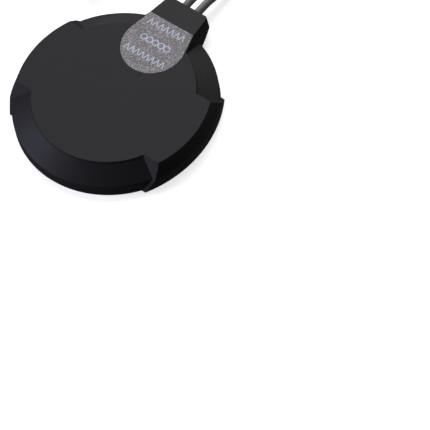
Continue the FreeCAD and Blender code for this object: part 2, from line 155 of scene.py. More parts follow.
def blank(name, **values):
    """A material, its nodes and links, its shader with these values, and Object coordinates."""
    material = bpy.data.materials.new(name)
    material.use_nodes = True
    nodes, links = material.node_tree.nodes, material.node_tree.links
    shader = nodes["Principled BSDF"]
    for key, value in values.items():
        shader.inputs[key.replace("_", " ")].default_value = value
    place = nodes.new("ShaderNodeTexCoord").outputs["Object"]
    return material, nodes, links, shader, place


def ramp(nodes, links, value, stops):
    """A colour from a value, through stops of (position, colour)."""
    node = nodes.new("ShaderNodeValToRGB")
    while len(node.color_ramp.elements) < len(stops):
        node.color_ramp.elements.new(0.5)
    for element, (position, colour) in zip(node.color_ramp.elements, stops):
        element.position = position
        element.color = (*colour, 1.0)
    links.new(value, node.inputs["Fac"])
    return node.outputs["Color"]


def between(nodes, links, value, low, high):
    """The value, from 0 to 1, spread between two others."""
    node = nodes.new("ShaderNodeMapRange")
    node.inputs["To Min"].default_value = low
    node.inputs["To Max"].default_value = high
    links.new(value, node.inputs["Value"])
    return node.outputs["Result"]


def relief(nodes, links, shader, height, depth, strength=1.0):
    """Bump of a real depth, from a height of 0 to 1."""
    bump = nodes.new("ShaderNodeBump")
    bump.inputs["Strength"].default_value = strength
    bump.inputs["Distance"].default_value = depth
    links.new(height, bump.inputs["Height"])
    links.new(bump.outputs["Normal"], shader.inputs["Normal"])


def grained(name, dark, light, rough, grain, cloud, depth, **values):
    """A finish with a slow drift between two colours and a fine grain in its relief."""
    material, nodes, links, shader, place = blank(name, **values)
    surface = nodes.new("ShaderNodeGroup")
    surface.node_tree = SURFACE
    surface.inputs["Grain size"].default_value = grain
    surface.inputs["Cloud size"].default_value = cloud
    links.new(place, surface.inputs["Place"])
    colour = ramp(nodes, links, surface.outputs["Cloud"], [(0.0, dark), (1.0, light)])
    links.new(colour, shader.inputs["Base Color"])
    links.new(between(nodes, links, surface.outputs["Grain"], *rough),
              shader.inputs["Roughness"])
    relief(nodes, links, shader, surface.outputs["Grain"], depth)
    return material


pad_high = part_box("mounting_pad")[1]
liner = 0.1 * mm         # the release film's thickness
foam_height = pad_high.z - liner
foam_bulge = 0.006       # share of the radius that the cut edge stands out at mid height
skin_rim, skin_round = 0.4 * mm, 0.12 * mm
start()
bpy.ops.mesh.primitive_cylinder_add(vertices=160, radius=pad_high.x, depth=foam_height,
                                    location=(0, 0, liner + foam_height / 2))
foam = bpy.context.object
bpy.ops.object.transform_apply(location=True)
for share in (0.25, 0.5, 0.75):
    bpy.ops.object.mode_set(mode="EDIT")
    bpy.ops.mesh.select_all(action="SELECT")
    bpy.ops.mesh.bisect(plane_co=(0, 0, liner + share * foam_height), plane_no=(0, 0, 1))
    bulge = 1 + foam_bulge * math.sin(math.pi * share)
    bpy.ops.transform.resize(value=(bulge, bulge, 1), center_override=(0, 0, 0))
    bpy.ops.object.mode_set(mode="OBJECT")
for top in (True, False):
    pick(foam, "FACE", lambda middle, normal: abs(normal.z) > 0.9 and (normal.z > 0) == top)
    bpy.ops.mesh.inset(thickness=skin_rim)
break_edges(foam, skin_round)
pad_foam = grained("pad_foam", (0.018, 0.018, 0.02), (0.03, 0.03, 0.033), (0.75, 0.95),
                   0.25 * mm, 6 * mm, 0.05 * mm)
fit(foam, "adhesive_foam", pad_foam)
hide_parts("mounting_pad")

film_margin, split_width, split_way = 0.3 * mm, 0.5 * mm, (0.35, 1, 0)
start()
bpy.ops.mesh.primitive_circle_add(vertices=160, radius=pad_high.x - film_margin,
                                  fill_type="NGON", location=(0, 0, liner))
film = bpy.context.object
bpy.ops.object.transform_apply(location=True)
bpy.ops.object.mode_set(mode="EDIT")
for side in (-1, 1):
    bpy.ops.mesh.select_all(action="SELECT")
    bpy.ops.mesh.bisect(plane_co=(0, side * split_width / 2, 0), plane_no=split_way)
pick(film, "FACE", lambda middle, normal: middle.xy.length < split_width)
bpy.ops.mesh.delete(type="FACE")
bpy.ops.object.mode_set(mode="OBJECT")
modify(film, "SOLIDIFY", thickness=liner, offset=-1)
liner_film = grained("liner_film", (0.5, 0.035, 0.03), (0.56, 0.05, 0.04), (0.22, 0.34),
                     0.8 * mm, 15 * mm, 0.01 * mm)
fit(film, "release_film", liner_film)

# ---- base plate, its gasket and screws --------------------------------------------------
# A flat injection-moulded plate closes the housing from below. A rubber ring seals it and
# four countersunk self-tapping screws, under the pad, hold it to the cover's bosses.
def coat(node, material):
    """A new finish on a moulded or machined part that keeps its shape."""
    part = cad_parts[node]
    part.data.materials.clear()
    part.data.materials.append(material)


base_plastic = grained("base_plastic", (0.011, 0.011, 0.012), (0.016, 0.016, 0.017),
                       (0.42, 0.6), 0.12 * mm, 12 * mm, 0.02 * mm)
gasket_rubber = grained("gasket_rubber", (0.05, 0.05, 0.052), (0.075, 0.074, 0.075),
                        (0.6, 0.8), 0.2 * mm, 4 * mm, 0.02 * mm)
screw_steel = grained("screw_steel", (0.30, 0.30, 0.31), (0.48, 0.48, 0.49), (0.25, 0.45),
                      0.15 * mm, 1.5 * mm, 0.01 * mm, Metallic=1.0)
coat("base_plate", base_plastic)
coat("base_gasket", gasket_rubber)
coat("base_screws", screw_steel)

# ---- circuit board --------------------------------------------------------------------
# A round two-sided glass-epoxy laminate on three posts. Green resist covers the copper,
# whose traces show through as lighter lines; pan-head screws hold it.
board_laminate, nodes, links, shader, place = blank("board_laminate", Roughness=0.32,
                                                    Specular_IOR_Level=0.6)
lattice = nodes.new("ShaderNodeTexBrick")
lattice.inputs["Scale"].default_value = 1 / (4 * mm)
lattice.inputs["Mortar Size"].default_value = 0.06
lattice.inputs["Mortar Smooth"].default_value = 0.1
lattice.inputs["Brick Width"].default_value = 1.7
lattice.inputs["Row Height"].default_value = 0.45
lattice.inputs["Color1"].default_value = (0.012, 0.10, 0.035, 1)
lattice.inputs["Color2"].default_value = (0.014, 0.115, 0.04, 1)
lattice.inputs["Mortar"].default_value = (0.03, 0.19, 0.06, 1)
links.new(place, lattice.inputs["Vector"])
links.new(lattice.outputs["Color"], shader.inputs["Base Color"])
relief(nodes, links, shader, lattice.outputs["Fac"], 0.03 * mm)
coat("circuit_board", board_laminate)
coat("board_screws", screw_steel)

# ---- positioning antenna --------------------------------------------------------------
# A square of fired ceramic with a silver electrode screened on its top, taped to the
# board; a tinned feed pin goes through both and is soldered at each end.
coat("patch_tape", grained("tape_film", (0.55, 0.53, 0.46), (0.62, 0.6, 0.52), (0.5, 0.7),
                           0.3 * mm, 5 * mm, 0.01 * mm))
coat("patch_ceramic", grained("patch_ceramic", (0.5, 0.4, 0.27), (0.6, 0.5, 0.36),
                              (0.55, 0.75), 0.1 * mm, 8 * mm, 0.02 * mm))
coat("patch_electrode", grained("patch_silver", (0.62, 0.61, 0.58), (0.8, 0.79, 0.76),
                                (0.35, 0.5), 0.15 * mm, 6 * mm, 0.01 * mm, Metallic=1.0))
tinned_wire = grained("tinned_wire", (0.5, 0.5, 0.5), (0.7, 0.7, 0.69), (0.2, 0.4),
                      0.2 * mm, 1 * mm, 0.02 * mm, Metallic=1.0)
coat("patch_pin", tinned_wire)

# ---- amplifier ------------------------------------------------------------------------
# Three small resin-bodied parts under the board, inside a folded can of tin-plated steel
# that is soldered round its rim.
coat("shield_can", grained("tin_plate", (0.5, 0.5, 0.49), (0.68, 0.68, 0.66), (0.22, 0.4),
                           0.4 * mm, 5 * mm, 0.01 * mm, Metallic=1.0))
coat("amplifier_chips", grained("chip_resin", (0.012, 0.012, 0.013), (0.02, 0.02, 0.021),
                                (0.5, 0.7), 0.08 * mm, 2 * mm, 0.01 * mm))

# ---- cellular antenna -----------------------------------------------------------------
# An arc of stamped brass sheet, slotted to length, with a folded leg at each end. It is
# staked on an arc of white moulded plastic that holds it above the board.
coat("element_frame", grained("frame_plastic", (0.62, 0.62, 0.6), (0.7, 0.7, 0.68),
                              (0.4, 0.55), 0.2 * mm, 10 * mm, 0.01 * mm))
coat("cellular_element", grained("element_brass", (0.62, 0.42, 0.17), (0.74, 0.53, 0.24),
                                 (0.22, 0.4), 0.3 * mm, 5 * mm, 0.01 * mm, Metallic=1.0))

# ---- lead tails and their solder ------------------------------------------------------
# Inside the tab each lead keeps its jacket; then its tinned braid is bare and, past that,
# its copper core. Braid and core are soldered down on the board's edge.
lead_tail, nodes, links, shader, place = blank("lead_tail", Roughness=0.5)
along = nodes.new("ShaderNodeSeparateXYZ")
links.new(place, along.inputs["Vector"])
tail_low, tail_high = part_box("gnss_lead_tail")
tail_length = tail_high.y - tail_low.y
bare_core, bare_braid = 2.0 * mm, 2.4 * mm
stretch = nodes.new("ShaderNodeMapRange")
stretch.inputs["From Min"].default_value = tail_low.y
stretch.inputs["From Max"].default_value = tail_high.y
links.new(along.outputs["Y"], stretch.inputs["Value"])
steps = [(0.0, (0.72, 0.36, 0.2)),
         (bare_core / tail_length, (0.62, 0.62, 0.61)),
         ((bare_core + bare_braid) / tail_length, (0.05, 0.05, 0.05))]
colour = nodes.new("ShaderNodeValToRGB")
colour.color_ramp.interpolation = "CONSTANT"
colour.color_ramp.elements.new(0.5)
for element, (position, value) in zip(colour.color_ramp.elements, steps):
    element.position = position
    element.color = (*value, 1)
links.new(stretch.outputs["Result"], colour.inputs["Fac"])
links.new(colour.outputs["Color"], shader.inputs["Base Color"])
strands = nodes.new("ShaderNodeTexWave")
strands.bands_direction = "DIAGONAL"
strands.inputs["Scale"].default_value = 1 / (1.2 * mm)
links.new(place, strands.inputs["Vector"])
relief(nodes, links, shader, strands.outputs["Fac"], 0.03 * mm)
coat("cellular_lead_tail", lead_tail)
coat("gnss_lead_tail", lead_tail)
coat("solder_joints", tinned_wire)

# ---- cover ----------------------------------------------------------------------------
# One injection-moulded shell of black plastic. The mould was spark eroded, which leaves an
# even matt grain, and the moulded edges round the top face are a little rounded.
cover_plastic = grained("cover_plastic", (0.0125, 0.0125, 0.0135), (0.0145, 0.0145, 0.0158),
                        (0.42, 0.54), 0.16 * mm, 25 * mm, 0.012 * mm,
                        Specular_IOR_Level=0.2)
coat("cover", cover_plastic)

# ---- lead clamp -----------------------------------------------------------------------
# A moulded plate that fills the tab's pocket from below and presses both leads up, held
# by two pan-head screws with a cross recess.
coat("lead_clamp", base_plastic)

screws_low, screws_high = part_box("clamp_screws")
head_r, head_h, head_round, shank_r = 1.4 * mm, 0.9 * mm, 0.45 * mm, 0.62 * mm
recess_l, recess_w, recess_h = 1.7 * mm, 0.36 * mm, 0.9 * mm
screw_x = screws_high.x - head_r
screw_y = (screws_low.y + screws_high.y) / 2
start()
bpy.ops.mesh.primitive_cylinder_add(vertices=48, radius=head_r, depth=head_h,
                                    location=(0, 0, head_h / 2))
screw = bpy.context.object
bpy.ops.object.transform_apply(location=True)
pick(screw, "EDGE", lambda middle, way: middle.z < 0.01 * mm)
bpy.ops.mesh.bevel(offset=head_round, segments=5)
pick(screw, "FACE", lambda middle, normal: normal.z > 0.9)
bpy.ops.mesh.inset(thickness=head_r - shank_r)
bpy.ops.mesh.extrude_region_move(
    TRANSFORM_OT_translate={"value": (0, 0, screws_high.z - screws_low.z - head_h)})
start()
for turn in (0, 90):
    bpy.ops.mesh.primitive_cube_add(size=1, scale=(recess_l, recess_w, recess_h),
                                    rotation=(0, 0, math.radians(turn)))
    if turn:
        bar.select_set(True)
        bpy.ops.object.join()
    bar = bpy.context.object
modify(screw, "BOOLEAN", operation="DIFFERENCE", object=bar, solver="EXACT",
       use_self=True)
bpy.data.objects.remove(bar)
break_edges(screw, 0.05 * mm)
only(screw)
screw.location = (screw_x, screw_y, screws_low.z)
bpy.ops.object.transform_apply(location=True)
bpy.ops.object.duplicate()
other = bpy.context.object
other.location.x = -2 * screw_x
only(other)
bpy.ops.object.transform_apply(location=True)
screw.select_set(True)
bpy.context.view_layer.objects.active = screw
bpy.ops.object.join()
fit(screw, "tab_screws", screw_steel)
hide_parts("clamp_screws")

# ---- label ----------------------------------------------------------------------------
# A speckled grey film in the cover's shallow recess. The sky side is marked on it in pale
# blue ink: three rows of plain arrowheads and rings.
label_film, nodes, links, shader, place = blank("label_film", Roughness=0.5, Metallic=0.0)
flecks = nodes.new("ShaderNodeTexVoronoi")
flecks.inputs["Scale"].default_value = 1 / (0.32 * mm)
links.new(place, flecks.inputs["Vector"])
one = nodes.new("ShaderNodeSeparateColor")
links.new(flecks.outputs["Color"], one.inputs["Color"])
grey = ramp(nodes, links, one.outputs["Red"],
            [(0.0, (0.12, 0.11, 0.11)), (0.55, (0.23, 0.215, 0.215)),
             (0.85, (0.37, 0.345, 0.345)), (1.0, (0.66, 0.62, 0.62))])
links.new(grey, shader.inputs["Base Color"])
links.new(between(nodes, links, one.outputs["Green"], 0.3, 0.65), shader.inputs["Roughness"])
relief(nodes, links, shader, one.outputs["Blue"], 0.02 * mm)
coat("sky_label", label_film)

film_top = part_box("sky_label")[1].z
ink = 0.02 * mm          # the print's thickness
mark_h, mark_w, line_w, line_round = 2.7 * mm, 1.9 * mm, 0.36 * mm, 0.12 * mm
# each row's place along the tab, half its width, and its number of marks
rows = [(32.0 * mm, 8.1 * mm, 7), (25.2 * mm, 6.2 * mm, 5), (18.7 * mm, 8.9 * mm, 8)]


def stroke(x, y, length, slant):
    """One printed line: a thin bar with rounded corners, turned by its slant."""
    start()
    bpy.ops.mesh.primitive_cube_add(size=1, location=(x, y, film_top + ink / 2),
                                    scale=(line_w, length, ink), rotation=(0, 0, slant))
    bar = bpy.context.object
    bpy.ops.object.transform_apply(location=False, rotation=False, scale=True)
    pick(bar, "EDGE", lambda middle, way: abs(way.z) > 0.9)
    bpy.ops.mesh.bevel(offset=line_round, segments=2)
    bpy.ops.object.mode_set(mode="OBJECT")
    return bar


def ring(x, y, radius):
    """One printed ring: a circle, drawn in by its line width and given its thickness."""
    start()
    bpy.ops.mesh.primitive_circle_add(vertices=32, radius=radius, fill_type="NGON",
                                      location=(x, y, film_top))
    mark = bpy.context.object
    pick(mark, "FACE", lambda middle, normal: True)
    bpy.ops.mesh.inset(thickness=line_w)
    bpy.ops.mesh.delete(type="FACE")
    bpy.ops.object.mode_set(mode="OBJECT")
    modify(mark, "SOLIDIFY", thickness=ink, offset=1)
    return mark


marks = []
for row, (row_y, half, count) in enumerate(rows):
    for k in range(count):
        x = -half + mark_w / 2 + k * (2 * half - mark_w) / (count - 1)
        if row == 1:
            marks.append(ring(x, row_y, mark_h / 2))
        else:
            lean = math.atan2(mark_w / 2, mark_h)
            length = math.hypot(mark_w / 2, mark_h)
            for side in (-1, 1):
                marks.append(stroke(x + side * mark_w / 4, row_y, length, side * lean))
start()
for mark in marks:
    mark.select_set(True)
bpy.context.view_layer.objects.active = marks[0]
bpy.ops.object.join()
label_ink = grained("label_ink", (0.64, 0.72, 0.82), (0.74, 0.82, 0.92), (0.4, 0.55),
                    0.2 * mm, 3 * mm, 0.005 * mm)
fit(bpy.context.object, "label_marks", label_ink)

# ---- lead bushes ----------------------------------------------------------------------
# A short rubber sleeve round each lead, pressed into the mouth of its hole in the tab.
bush_rubber = grained("bush_rubber", (0.016, 0.016, 0.016), (0.024, 0.024, 0.024),
                      (0.55, 0.75), 0.15 * mm, 2 * mm, 0.02 * mm)
coat("cellular_bush", bush_rubber)
coat("gnss_bush", bush_rubber)

# ---- leads ----------------------------------------------------------------------------
# Thin coaxial lead with an extruded grey jacket. It leaves its bush, comes down to the
# surface and is wound in two layers of four turns; its end comes off the top layer.
LEAD_D = 3.0 * mm
lead_jacket, nodes, links, shader, place = blank("lead_jacket", Roughness=0.42,
                                                 Specular_IOR_Level=0.55)
surface = nodes.new("ShaderNodeGroup")
surface.node_tree = SURFACE
surface.inputs["Grain size"].default_value = 0.35 * mm
surface.inputs["Cloud size"].default_value = 7 * mm
links.new(place, surface.inputs["Place"])
links.new(ramp(nodes, links, surface.outputs["Cloud"],
               [(0.0, (0.185, 0.182, 0.165)), (1.0, (0.23, 0.226, 0.206))]),
          shader.inputs["Base Color"])
links.new(between(nodes, links, surface.outputs["Cloud"], 0.34, 0.5),
          shader.inputs["Roughness"])
relief(nodes, links, shader, surface.outputs["Grain"], 0.015 * mm)


def ease(x):
    """0 to 1, without a corner at either end."""
    x = min(max(x, 0.0), 1.0)
    return x * x * (3 - 2 * x)


def coil_turns(node, enters, way, turns):
    """Points of a coil: four strands inwards on the surface, a climb, then out on top."""
    low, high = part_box(node)
    middle = (low + high) / 2
    outermost = (high.x - low.x) / 2 - LEAD_D / 2
    jog, climb, per_turn = 0.12, 3.75, 18
    points = []
    for k in range(1, round(turns * per_turn) + 1):
        turn = k * turns / round(turns * per_turn)
        whole, part = divmod(turn, 1.0)
        if turn < 4:
            strand = min(whole + ease((part - (1 - jog)) / jog), 3.0)
        else:
            strand = max(3 - (whole - 4) - ease((part - climb % 1 + 0.15) / 0.15), 0.0)
        layer = ease((turn - climb) / 0.13)
        radius = outermost - strand * LEAD_D
        angle = math.radians(enters) + way * 2 * math.pi * turn
        points.append((middle.x + radius * math.cos(angle),
                       middle.y + radius * math.sin(angle),
                       low.z + LEAD_D / 2 + layer * LEAD_D))
    return points


def lead(name, points):
    """One open spline through the lead's whole length, as thick as its jacket."""
    curve = bpy.data.curves.new(name, "CURVE")
    curve.dimensions = "3D"
    curve.bevel_depth = LEAD_D / 2
    curve.bevel_resolution = 4
    curve.resolution_u = 5
    curve.use_fill_caps = True
    spline = curve.splines.new("NURBS")
    spline.points.add(len(points) - 1)
    for point, place in zip(spline.points, points):
        point.co = (*place, 1.0)
    spline.order_u = 3
    spline.use_endpoint_u = True
    piece = bpy.data.objects.new(name, curve)
    bpy.context.scene.collection.objects.link(piece)
    curve.materials.append(lead_jacket)
    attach(piece, "root")
    return piece


def routed(points):
    return [tuple(value * mm for value in point) for point in points]


CELL_ROUTE = routed([(-2.75, 45.1, 5.5), (-2.75, 52.0, 5.5), (-1.9, 59.6, 3.2),
                     (-0.7, 67.3, 2.1), (-1.0, 75.0, 2.1)])
GNSS_ROUTE = routed([(2.75, 45.1, 5.5), (2.75, 52.5, 5.5), (3.8, 60.5, 3.0),
                     (4.9, 69.5, 1.8), (3.2, 79.0, 1.8), (-0.6, 88.8, 1.9),
                     (-0.5, 99.0, 2.1)])
CELL_END = routed([(-43.67, 82.52, 5.1), (-45.6, 75.0, 5.1), (-45.9, 67.3, 4.1),
                   (-44.2, 60.2, 4.1)])
GNSS_END = routed([(5.94, 83.44, 5.1), (0.4, 88.9, 5.1), (-5.2, 93.9, 4.7),
                   (-11.9, 98.2, 4.1), (-19.5, 100.8, 4.1)])
LEADS = [("cellular", CELL_ROUTE, (0, 1, 7 + 160 / 360), CELL_END, 275),
         ("gnss", GNSS_ROUTE, (180, -1, 6 + 315 / 360), GNSS_END, 50)]
for name, route, winding, end, tie_angle in LEADS:
    lead(name + "_cord", route + coil_turns(name + "_coil", *winding) + end[1:])
    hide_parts(name + "_lead", name + "_coil", name + "_lead_end")

# ---- coil ties ------------------------------------------------------------------------
# A black nylon cable tie round each coil: a thin strap with rounded corners, its ratchet
# head on the coil's outer side, and the trimmed end of the strap standing out of it.
tie_nylon = grained("tie_nylon", (0.012, 0.012, 0.013), (0.018, 0.018, 0.02), (0.3, 0.45),
                    0.3 * mm, 4 * mm, 0.01 * mm)
strap_t, strap_w, strap_corner, strap_round = 0.5 * mm, 2.6 * mm, 1.3 * mm, 0.12 * mm
bundle_r, bundle_w, bundle_h = 17.5 * mm, 12.16 * mm, 6.16 * mm
bundle_z = 3.6 * mm
lock_l, lock_w, lock_h, lock_z, lock_round = 2.6 * mm, 4.2 * mm, 3.4 * mm, 0.4 * mm, 0.3 * mm
mouth_wall, mouth_depth = 0.65 * mm, 0.9 * mm
tail_l, tail_z = 3.4 * mm, 1.5 * mm
teeth, tooth_pitch, tooth_h = 7, 0.4 * mm, 0.12 * mm


def coil_tie():
    """A tie round a bundle whose middle is at the origin, with its width along Y."""
    start()
    bpy.ops.mesh.primitive_cube_add(size=1, scale=(bundle_w, strap_w, bundle_h))
    band = bpy.context.object
    bpy.ops.object.transform_apply(scale=True)
    pick(band, "EDGE", lambda middle, way: abs(way.y) > 0.9)
    bpy.ops.mesh.bevel(offset=strap_corner, segments=6)
    pick(band, "FACE", lambda middle, normal: abs(normal.y) > 0.9)
    bpy.ops.mesh.delete(type="FACE")
    bpy.ops.object.mode_set(mode="OBJECT")
    modify(band, "SOLIDIFY", thickness=strap_t, offset=1)
    break_edges(band, strap_round)
    start()
    lock_x = bundle_w / 2 + strap_t + 1.0 * mm
    bpy.ops.mesh.primitive_cube_add(size=1, location=(lock_x, 0, lock_z),
                                    scale=(lock_l, lock_w, lock_h))
    head = bpy.context.object
    bpy.ops.object.transform_apply(location=True, scale=True)
    pick(head, "FACE", lambda middle, normal: normal.z > 0.9)
    bpy.ops.mesh.inset(thickness=mouth_wall)
    bpy.ops.mesh.extrude_region_move(TRANSFORM_OT_translate={"value": (0, 0, -mouth_depth)})
    break_edges(head, lock_round, 3)
    start()
    bpy.ops.mesh.primitive_cube_add(size=1, location=(lock_x, 0, tail_z),
                                    scale=(strap_t, strap_w * 0.85, tail_l))
    tail = bpy.context.object
    bpy.ops.object.transform_apply(location=True, scale=True)
    for k in range(teeth):
        bpy.ops.object.mode_set(mode="EDIT")
        bpy.ops.mesh.select_all(action="SELECT")
        bpy.ops.mesh.bisect(plane_co=(0, 0, (1 + k) * tooth_pitch), plane_no=(0, 0, 1))
        bpy.ops.object.mode_set(mode="OBJECT")
    pick(tail, "EDGE", lambda middle, way: middle.x > lock_x + 0.4 * strap_t
         and abs(way.y) > 0.9 and round(middle.z / tooth_pitch - 1) % 2 == 0)
    bpy.ops.transform.translate(value=(tooth_h, 0, 0))
    bpy.ops.object.mode_set(mode="OBJECT")
    start()
    for part in (head, tail, band):
        part.select_set(True)
    bpy.context.view_layer.objects.active = band
    bpy.ops.object.join()
    return band


first_tie = coil_tie()
ties = {}
for name, route, winding, end, tie_angle in LEADS:
    low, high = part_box(name + "_coil")
    tie = first_tie.copy()
    tie.data = first_tie.data.copy()
    bpy.context.scene.collection.objects.link(tie)
    angle = math.radians(tie_angle)
    tie.rotation_euler = (0, 0, angle)
    tie.location = ((low.x + high.x) / 2 + bundle_r * math.cos(angle),
                    (low.y + high.y) / 2 + bundle_r * math.sin(angle), bundle_z)
    ties[name] = fit(tie, name + "_coil_tie", tie_nylon)
    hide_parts(name + "_tie")
bpy.data.objects.remove(first_tie)

# ---- plugs ----------------------------------------------------------------------------
# A threaded coaxial plug on each lead, drawn along +X from the lead's end: shrink sleeve,
# crimped ferrule, knurled barrel, insulator and pin, and a hexagon nut that turns.
SLEEVE_L, FERRULE_L, BARREL_L = 9.0 * mm, 4.5 * mm, 4.6 * mm
NUT_START, NUT_L, NUT_WALL = 18.4 * mm, 9.0 * mm, 2.0 * mm
NUT_FLAT, NUT_CHAMFER = 4.0 * mm, 0.5 * mm
NUT_CORNER = NUT_FLAT / math.cos(math.radians(30))
THREAD_R, PITCH = 3.18 * mm, 0.7 * mm
JACKET_R, FERRULE_R, COLLAR_R = LEAD_D / 2, 2.3 * mm, 3.2 * mm
NECK_R, MOUTH_R, INSULATOR_R, PIN_R = 2.6 * mm, 2.3 * mm, 2.0 * mm, 0.46 * mm


def turned(stations, sides=64):
    """A turned part: a ring drawn out along X from (distance, radius) to the next."""
    start()
    at, radius = stations[0]
    bpy.ops.mesh.primitive_circle_add(vertices=sides, radius=radius, location=(at, 0, 0),
                                      rotation=(0, math.pi / 2, 0))
    part = bpy.context.object
    bpy.ops.object.transform_apply(location=True, rotation=True)
    bpy.ops.object.mode_set(mode="EDIT")
    bpy.ops.mesh.select_mode(type="VERT")
    bpy.ops.mesh.select_all(action="SELECT")
    for far, wide in stations[1:]:
        bpy.ops.mesh.extrude_region_move(TRANSFORM_OT_translate={"value": (far - at, 0, 0)})
        bpy.ops.transform.resize(value=(1, wide / radius, wide / radius),
                                 center_override=(far, 0, 0))
        at, radius = far, wide
    bpy.ops.mesh.select_all(action="SELECT")
    bpy.ops.mesh.remove_doubles(threshold=0.004 * mm)
    bpy.ops.mesh.normals_make_consistent(inside=False)
    bpy.ops.object.mode_set(mode="OBJECT")
    return part


TIP = 0.001 * mm     # a ring drawn in to a point, which merges into one


def sleeve():
    """Heat-shrunk tube: tight on the jacket, wider over the ferrule, its rims rounded."""
    back = -2.0 * mm
    part = turned([(back, JACKET_R), (back, 1.62 * mm), (back + 0.4 * mm, 1.78 * mm),
                   (2.2 * mm, 1.82 * mm), (3.4 * mm, 2.0 * mm), (4.6 * mm, 2.06 * mm),
                   (SLEEVE_L - 0.2 * mm, 2.1 * mm), (SLEEVE_L, 2.02 * mm),
                   (SLEEVE_L, JACKET_R), (back, JACKET_R)], 48)
    break_edges(part, 0.08 * mm)
    return part


def ferrule():
    """Plated tube with a rolled rim at each end, crimped to six flats between them."""
    rolled, crimp_r, crimp_l, jaw = 0.15 * mm, 2.05 * mm, 2.7 * mm, 2 * mm
    part = turned([(SLEEVE_L, TIP), (SLEEVE_L, FERRULE_R - rolled),
                   (SLEEVE_L + rolled, FERRULE_R), (SLEEVE_L + FERRULE_L, FERRULE_R),
                   (SLEEVE_L + FERRULE_L, TIP)])
    middle, away = SLEEVE_L + FERRULE_L / 2, crimp_r + jaw / 2
    for k in range(6):
        start()
        angle = math.radians(60 * k)
        bpy.ops.mesh.primitive_cube_add(
            size=1, scale=(crimp_l, 2 * jaw, jaw), rotation=(angle, 0, 0),
            location=(middle, -away * math.sin(angle), away * math.cos(angle)))
        flat = bpy.context.object
        modify(part, "BOOLEAN", operation="DIFFERENCE", object=flat, solver="EXACT")
        bpy.data.objects.remove(flat)
    break_edges(part, 0.06 * mm)
    return part


def barrel():
    """Turned body: a straight-knurled collar, a waist, then the neck that holds the nut."""
    x = SLEEVE_L + FERRULE_L
    neck, ring_at = x + BARREL_L, NUT_START + NUT_WALL + 0.3 * mm
    mouth = NUT_START + NUT_L - 1.0 * mm
    knurl_start, knurl_end, flange = x + 0.9 * mm, x + 3.1 * mm, x + 3.5 * mm
    flange_r, waist_r, back_r = 3.25 * mm, 2.8 * mm, 3.0 * mm
    sides, groove_rim, groove_depth = 96, 0.03 * mm, 0.14 * mm
    part = turned([(x, TIP), (x, back_r - 0.3 * mm), (x + 0.3 * mm, back_r),
                   (knurl_start, back_r), (knurl_start, COLLAR_R), (knurl_end, COLLAR_R),
                   (knurl_end, waist_r), (flange, waist_r), (flange, flange_r),
                   (neck, flange_r), (neck, NECK_R), (ring_at, NECK_R), (ring_at, MOUTH_R),
                   (mouth, MOUTH_R), (mouth, INSULATOR_R), (neck + 0.1 * mm, INSULATOR_R),
                   (neck + 0.1 * mm, TIP)], sides)
    pick(part, "FACE", lambda middle, normal: knurl_start < middle.x < knurl_end
         and abs(normal.x) < 0.1 and middle.yz.length > 0.97 * COLLAR_R
         and round(math.degrees(math.atan2(middle.z, middle.y)) * sides / 360 + 0.5) % 2)
    bpy.ops.mesh.inset(thickness=groove_rim, use_individual=True)
    bpy.ops.mesh.extrude_faces_move(
        TRANSFORM_OT_shrink_fatten={"value": -groove_depth})
    bpy.ops.object.mode_set(mode="OBJECT")
    break_edges(part, 0.05 * mm, 1, 50)
    return part


def pin():
    x, tip = SLEEVE_L + FERRULE_L + BARREL_L, NUT_START + NUT_L - 0.4 * mm
    return turned([(x, TIP), (x, PIN_R), (tip - 0.7 * mm, PIN_R),
                   (tip - 0.25 * mm, 0.34 * mm), (tip - 0.05 * mm, 0.18 * mm), (tip, TIP)], 32)


def nut():
    """Hexagon bar, chamfered at both ends, bored, and threaded from its open end."""
    start()
    bpy.ops.mesh.primitive_cylinder_add(vertices=6, radius=NUT_CORNER, depth=NUT_L,
                                        location=(NUT_START + NUT_L / 2, 0, 0),
                                        rotation=(0, math.pi / 2, 0))
    part = bpy.context.object
    bpy.ops.object.transform_apply(location=True, rotation=True)
    end, past_corner = NUT_START + NUT_L, 4.75 * mm
    blank_bar = turned([(NUT_START, TIP), (NUT_START, NUT_FLAT),
                        (NUT_START + NUT_CHAMFER, past_corner),
                        (end - NUT_CHAMFER, past_corner),
                        (end, NUT_FLAT + 0.1 * mm), (end, TIP)], 96)
    modify(part, "BOOLEAN", operation="INTERSECT", object=blank_bar, solver="EXACT")
    bpy.data.objects.remove(blank_bar)
    wall, neck_bore = NUT_START + NUT_WALL, NECK_R + 0.05 * mm
    bore = turned([(NUT_START - 1 * mm, TIP), (NUT_START - 1 * mm, neck_bore),
                   (wall, neck_bore), (wall, THREAD_R), (end - 0.35 * mm, THREAD_R),
                   (end + 0.1 * mm, 3.6 * mm), (end + 0.1 * mm, TIP)], 96)
    modify(part, "BOOLEAN", operation="DIFFERENCE", object=bore, solver="EXACT")
    bpy.data.objects.remove(bore)
    break_edges(part, 0.07 * mm)
    start()
    bpy.ops.mesh.primitive_circle_add(vertices=3, radius=0.3 * mm,
                                      location=(wall + 1.2 * mm, 0, THREAD_R),
                                      rotation=(math.pi / 2, 0, 0))
    thread = bpy.context.object
    bpy.ops.object.transform_apply(location=True, rotation=True)
    modify(thread, "SCREW", axis="X", screw_offset=PITCH, iterations=7, steps=48,
           render_steps=48, use_merge_vertices=True)
    pick(thread, "EDGE", lambda middle, way: True)
    bpy.ops.mesh.edge_face_add()
    bpy.ops.object.mode_set(mode="OBJECT")
    start()
    thread.select_set(True)
    part.select_set(True)
    bpy.context.view_layer.objects.active = part
    bpy.ops.object.join()
    return part


